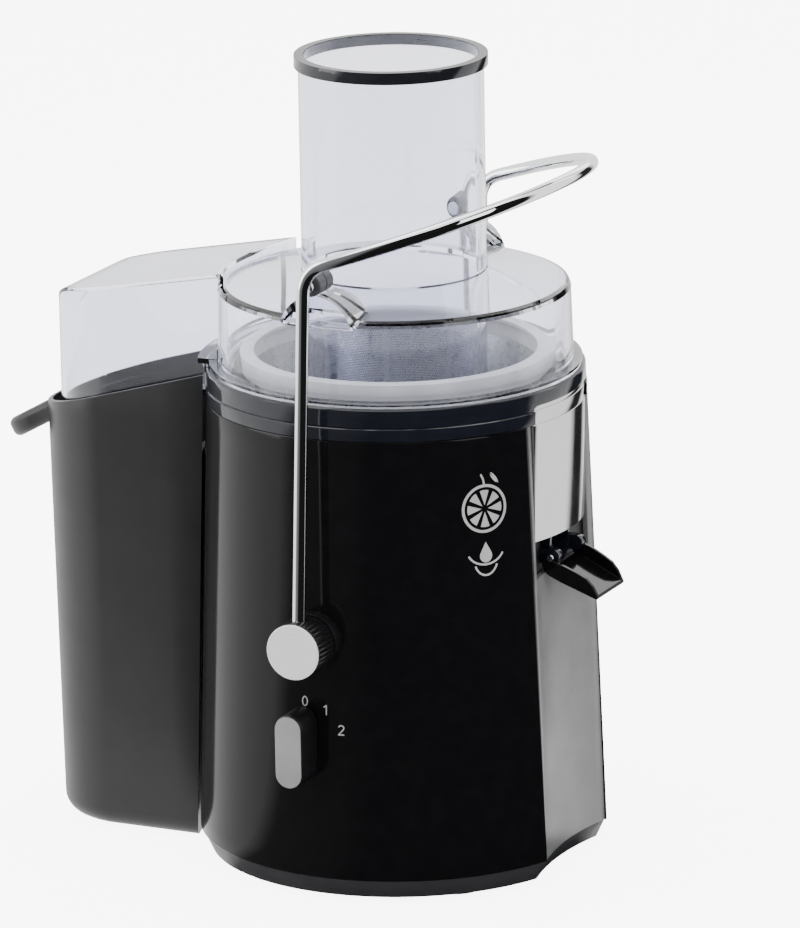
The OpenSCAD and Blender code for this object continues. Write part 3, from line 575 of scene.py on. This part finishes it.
class Print:
    """Flat printed shapes on the front panel: s runs round the panel and z upwards, from a centre."""
    SUNK, RAISED, STEP = -0.1, 0.06, 1.2

    def __init__(self, name, turn, z):
        self.name, self.turn, self.z, self.bm = name, turn, z, bmesh.new()

    def at(self, s, z, out):
        r = wall_r(self.z + z) + out
        a = self.turn + s / r
        return self.bm.verts.new((r * math.cos(a), r * math.sin(a), self.z + z))

    def fill(self, outline):
        fine = []
        for (a, b), (c, d) in zip(outline, outline[1:] + outline[:1]):
            n = max(1, int(math.hypot(c - a, d - b) / self.STEP))
            fine += [(a + (c - a) * k / n, b + (d - b) * k / n) for k in range(n)]
        low = [self.at(s, z, self.SUNK) for s, z in fine]
        top = [self.at(s, z, self.RAISED) for s, z in fine]
        f = self.bm.faces.new(top)
        self.bm.faces.new(low[::-1])
        for i in range(len(fine)):
            k = (i + 1) % len(fine)
            self.bm.faces.new((low[i], low[k], top[k], top[i]))
        bmesh.ops.triangulate(self.bm, faces=[f])

    def stroke(self, line, width, closed=False):
        pts = [Vector(p) for p in line]
        n = len(pts)
        left, right = [], []
        for i, p in enumerate(pts):
            q0 = pts[(i - 1) % n] if closed else pts[max(i - 1, 0)]
            q1 = pts[(i + 1) % n] if closed else pts[min(i + 1, n - 1)]
            d = (q1 - q0).normalized()
            o = Vector((-d.y, d.x)) * width / 2
            left.append(p + o)
            right.append(p - o)
        rows = [[self.at(*a, self.SUNK), self.at(*a, self.RAISED), self.at(*b, self.RAISED),
                 self.at(*b, self.SUNK)] for a, b in zip(left, right)]
        for i in range(n if closed else n - 1):
            a, b = rows[i], rows[(i + 1) % n]
            for j in range(4):
                k = (j + 1) % 4
                self.bm.faces.new((a[j], a[k], b[k], b[j]))
        if not closed:
            self.bm.faces.new(rows[0])
            self.bm.faces.new(rows[-1][::-1])

    def done(self):
        piece(link(self.name, self.bm, "print_grey"), "housing", "face_grey")


def arc(cx, cz, rx, rz, a0, a1, n):
    """Points of an elliptic arc from angle a0 to a1, in degrees."""
    turns = [math.radians(a0 + (a1 - a0) * k / n) for k in range(n + 1)]
    return [(cx + rx * math.cos(t), cz + rz * math.sin(t)) for t in turns]


def numeral(name, angle, lines, closed=False):
    """A dial number at an angle from the top of the knob."""
    a, r = math.radians(angle), 19.3
    z = KNOB_Z + r * math.cos(a)
    turn = -math.pi / 2 + (KNOB_X + r * math.sin(a)) / wall_r(z)
    mark = Print(name, turn, z)
    for line in lines:
        mark.stroke(line, 0.55, closed)
    mark.done()


numeral("mark_0", 0, [arc(0, 0, 1.25, 2.15, 0, 345, 22)], True)
numeral("mark_1", 33, [[(-1.1, 1.3), (-0.3, 1.75), (0.25, 2.3)], [(0.25, 2.4), (0.25, 0), (0.25, -2.3)]])
numeral("mark_2", 68, [arc(0, 1.1, 1.25, 1.15, 165, -45, 14) + [(-1.3, -2.1)],
                       [(-1.5, -2.1), (0, -2.1), (1.5, -2.1)]])

# a citrus slice with a leaf, a stalk, a drop and two curves below
emblem = Print("emblem", math.radians(-38.7), 184)
emblem.stroke(arc(0, 0, 10.6, 10.6, 0, 354, 60), 1.3, True)
for a in range(0, 360, 45):
    c, q = math.cos(math.radians(a)), math.sin(math.radians(a))
    emblem.fill(arc(1.4 * c, 1.4 * q, 7.2, 7.2, a - 18, a + 18, 8) + [(1.6 * c, 1.6 * q)])
emblem.fill(arc(-0.5, 9.5, 8, 8, 62, 10, 10) + arc(10.7, 18, 8, 8, 190, 242, 10)[1:-1])
emblem.stroke([(0, 11), (-0.4, 13.5), (-1.6, 16)], 0.9)
emblem.fill([(0, -15.5)] + arc(0, -22, 3.1, 3.1, 150, 390, 16))
for k, reach in enumerate((9.5, 6.0)):
    emblem.stroke(arc(0, -18 - 5 * k, reach, 8, 205, 335, 20), 0.9)
emblem.done()


# ---------------------------------------------------------------- rollers
ROLLER = [(2.05, 74.5), (4.7, 74.5), (5.2, 75.0), (5.2, 81.2), (4.9, 81.5), (4.9, 82.0), (5.2, 82.3),
          (5.2, 88.5), (4.7, 89.0), (2.05, 89.0)]
for side, end in (FRONT, REAR):
    roller = link("roller_shell_" + end, lathe(on_side(side, ROLLER), 64, ROLLER_Z), "roller_grey")
    piece(roller, end + "_roller", "roller_grey", "roller_" + end)


# ---------------------------------------------------------------- pulp container
def pulp_w(z):
    """Half width of the container, which tapers downwards."""
    return PULP_HALF - 3.2 + 3.4 * (z - 14) / 218


def pulp_loop(w, z):
    """Level outline of half width w: straight sides from within the housing and a round far end."""
    near, middle, n = -62.0, -100, 40
    turns = [math.pi * k / n for k in range(n + 1)]
    end = [(-PULP_END - w * math.sin(t), -w * math.cos(t), z) for t in turns]
    return [(near, -w, z), (middle, -w, z)] + end + [(middle, w, z), (near, w, z)]


def rim_z(x):
    """Height of the sloping rim."""
    return 228 + (x + 80) * math.tan(math.radians(15.6))


def pulp_body(inset, z0, r):
    """Outside (or inside) of the container with a rounded lower edge."""
    rows = []
    for k in range(9):
        a = math.pi / 2 * k / 8
        z = z0 + r * (1 - math.cos(a))
        rows.append(pulp_loop(pulp_w(z) - inset - r * (1 - math.sin(a)), z))
    rows += [pulp_loop(pulp_w(z) - inset, z) for z in (60, 110, 160, 200, 260)]
    return link("pulp", loft(rows))


def rim_cutter():
    """Everything above the sloping rim."""
    x0, x1, top = -260.0, 0.0, 400
    outline = [(x0, rim_z(x0)), (x1, rim_z(x1)), (x1, top), (x0, top)]
    return link("cut", prism(outline, lambda u, v, w: (u, w, v), -90, 90))


def housing_cone(extra):
    """The housing's cone grown by extra, from below the table to above the rim."""
    low, top = -1, 300
    outline = [(0, low), (wall_r(low) + extra, low), (wall_r(top) + extra, top), (0, top)]
    return link("cut", lathe(outline, 180))


def lip():
    """Pull handle: a thick rounded tongue sloping down and away from the rim."""
    root, reach, half, n = 4, 14, 19, 32
    turns = [math.pi * k / n for k in range(1, n)]
    out = [(root, -half), (-reach, -half)]
    out += [(-reach - half * math.sin(t), -half * math.cos(t)) for t in turns]
    out += [(-reach, half), (root, half)]
    far = -PULP_END - PULP_HALF
    xc, zc, tilt = far + 5, rim_z(far) + 0.6, math.radians(-29)
    c, q = math.cos(tilt), math.sin(tilt)

    def place(u, v, w):
        return (xc + u * c + w * q, v, zc - u * q + w * c)

    return rounded(link("lip", prism(out, place, -9, 0.5)), 3.4, 6, 50)


tub = pulp_body(0, 2, 9)
boolean(tub, rim_cutter())
boolean(tub, lip(), "UNION")
boolean(tub, boolean(pulp_body(PULP_T, 4.4, 8), housing_cone(PULP_GAP + PULP_T)))
boolean(tub, housing_cone(PULP_GAP))
# the way in for the pulp, through the upper part of the wall on the housing's side
window = [(-100, -39), (-60, -39), (-60, 39), (-100, 39)]
boolean(tub, link("cut", prism(window, lambda u, v, w: (u, v, w), 190, 300)))
tub.data.materials.clear()
tub.data.materials.append(M["pulp_dark"])
piece(rounded(tub, 0.5, 2, 50), "container", "pulp_dark", "pulp_container")

# ---------------------------------------------------------------- rounded edges on the CAD pieces
for name, width in (("side_panel", 0.9), ("chute_panel", 0.5), ("base_plate", 0.5), ("juice_bowl", 0.5),
                    ("juice_spout", 0.5), ("tube_collar", 0.7), ("basket_frame", 0.5),
                    ("pivot_boss_front", 0.4), ("pivot_boss_rear", 0.4), ("cord_gland", 0.5),
                    ("centre_cap", 0.4), ("housing_shell", 0.3), ("roller_axle_front", 0.3),
                    ("roller_axle_rear", 0.3), ("spout_pins", 0.3)):
    soften(name, width)

# ---------------------------------------------------------------- stage and light
STUDIO = 2.0            # brightness of the studio that shiny surfaces see
CLEAR_LOSS = 0.75       # how much less of it a ray sees that passes through clear plastic
FLOOR_LIFT = 7.0        # extra white of the floor for the camera
FLOOR_THROUGH = 1.8     # and for rays through clear plastic
# the studio round the object, as shares of STUDIO: (azimuth in degrees, value)
BANDS = [(-180, 1.0), (-136, 0.9), (-126, 0.14), (-92, 0.08), (-80, 0.006), (17, 0.006), (24, 0.95),
         (58, 0.9), (66, 0.015), (80, 0.015), (88, 0.9), (180, 1.0)]


def studio(tree, vector):
    """Value of the studio walls in the direction of a vector from the object."""
    def node(kind, **values):
        n = tree.nodes.new(kind)
        for k, v in values.items():
            setattr(n, k, v)
        return n

    xyz = node("ShaderNodeSeparateXYZ")
    tree.links.new(vector, xyz.inputs[0])
    turn = node("ShaderNodeMath", operation="ARCTAN2")
    tree.links.new(xyz.outputs[1], turn.inputs[0])
    tree.links.new(xyz.outputs[0], turn.inputs[1])
    share = node("ShaderNodeMapRange")
    share.inputs[1].default_value, share.inputs[2].default_value = -math.pi, math.pi
    tree.links.new(turn.outputs[0], share.inputs[0])
    ramp = node("ShaderNodeValToRGB")
    stops = ramp.color_ramp.elements
    while len(stops) < len(BANDS):
        stops.new(0.5)
    for stop, (angle, value) in zip(stops, BANDS):
        stop.position = (angle + 180) / 360
        stop.color = (value, value, value, 1)
    tree.links.new(share.outputs[0], ramp.inputs[0])
    return ramp.outputs[0]


def mirrored(tree, path):
    """How much a ray counts as a reflection: one that also passes through clear plastic counts less."""
    share = tree.nodes.new("ShaderNodeMath")
    share.operation = "MULTIPLY_ADD"
    share.inputs[1].default_value = -CLEAR_LOSS
    share.use_clamp = True
    tree.links.new(path.outputs["Is Transmission Ray"], share.inputs[0])
    tree.links.new(path.outputs["Is Glossy Ray"], share.inputs[2])
    return share.outputs[0]


def make_stage():
    """The floor and the world; both show the studio's bands to shiny surfaces only."""
    mesh = bpy.data.meshes.new("floor")
    s = 6  # half side, in metres
    mesh.from_pydata([(-s, -s, 0), (s, -s, 0), (s, s, 0), (-s, s, 0)], [], [(0, 1, 2, 3)])
    floor = bpy.data.objects.new("floor", mesh)
    bpy.context.scene.collection.objects.link(floor)
    k = Mat("floor_white")
    k.shader((0.9, 0.9, 0.9), 0.7, Specular_IOR_Level=0.1, Emission_Color=(1, 1, 1, 1))
    k.rough(k.noise(3, 3), 0.65, 0.8)
    path = k.n("ShaderNodeLightPath")
    through = k.n("ShaderNodeMath", operation="MULTIPLY")
    through.inputs[1].default_value = FLOOR_THROUGH
    k.link(path.outputs["Is Transmission Ray"], through.inputs[0])
    lift = k.n("ShaderNodeMath", operation="MULTIPLY_ADD")
    lift.inputs[1].default_value = FLOOR_LIFT
    k.link(path.outputs["Is Camera Ray"], lift.inputs[0])
    k.link(through.outputs[0], lift.inputs[2])
    k.link(lift.outputs[0], k.p.inputs["Emission Strength"])
    walls = k.n("ShaderNodeEmission")
    walls.inputs["Strength"].default_value = STUDIO
    k.link(studio(k.t, k.co), walls.inputs["Color"])
    mix = k.n("ShaderNodeMixShader")
    k.link(mirrored(k.t, path), mix.inputs[0])
    k.link(k.p.outputs[0], mix.inputs[1])
    k.link(walls.outputs[0], mix.inputs[2])
    k.link(mix.outputs[0], k.out.inputs["Surface"])
    mesh.materials.append(k.m)
    world = bpy.data.worlds.new("studio")
    world.use_nodes = True
    t = world.node_tree
    white = t.nodes["Background"]
    white.inputs[0].default_value = (1, 1, 1, 1)
    white.inputs[1].default_value = 0.9
    walls = t.nodes.new("ShaderNodeBackground")
    walls.inputs[1].default_value = STUDIO
    where = t.nodes.new("ShaderNodeTexCoord")
    t.links.new(studio(t, where.outputs["Generated"]), walls.inputs[0])
    path = t.nodes.new("ShaderNodeLightPath")
    mix = t.nodes.new("ShaderNodeMixShader")
    t.links.new(mirrored(t, path), mix.inputs[0])
    t.links.new(white.outputs[0], mix.inputs[1])
    t.links.new(walls.outputs[0], mix.inputs[2])
    t.links.new(mix.outputs[0], t.nodes["World Output"].inputs[0])
    bpy.context.scene.world = world


def area(name, place, aim_z, size, watts):
    """A rectangular light aimed at a height on the axis; metres."""
    data = bpy.data.lights.new(name, "AREA")
    data.shape = "RECTANGLE"
    data.size, data.size_y = size
    data.energy = watts
    o = bpy.data.objects.new(name, data)
    bpy.context.scene.collection.objects.link(o)
    o.location = place
    o.rotation_mode = "QUATERNION"
    o.rotation_quaternion = (Vector((0, 0, aim_z)) - Vector(place)).to_track_quat("-Z", "Y")


make_stage()
area("top", (0.0, -0.2, 2.4), 0.2, (2.4, 2.4), 40)
area("left", (-1.5, -0.9, 0.9), 0.2, (0.9, 1.6), 14)
area("right", (1.7, -0.6, 1.0), 0.2, (0.7, 1.4), 9)
area("back", (0.3, 1.6, 1.2), 0.25, (1.6, 1.0), 8)
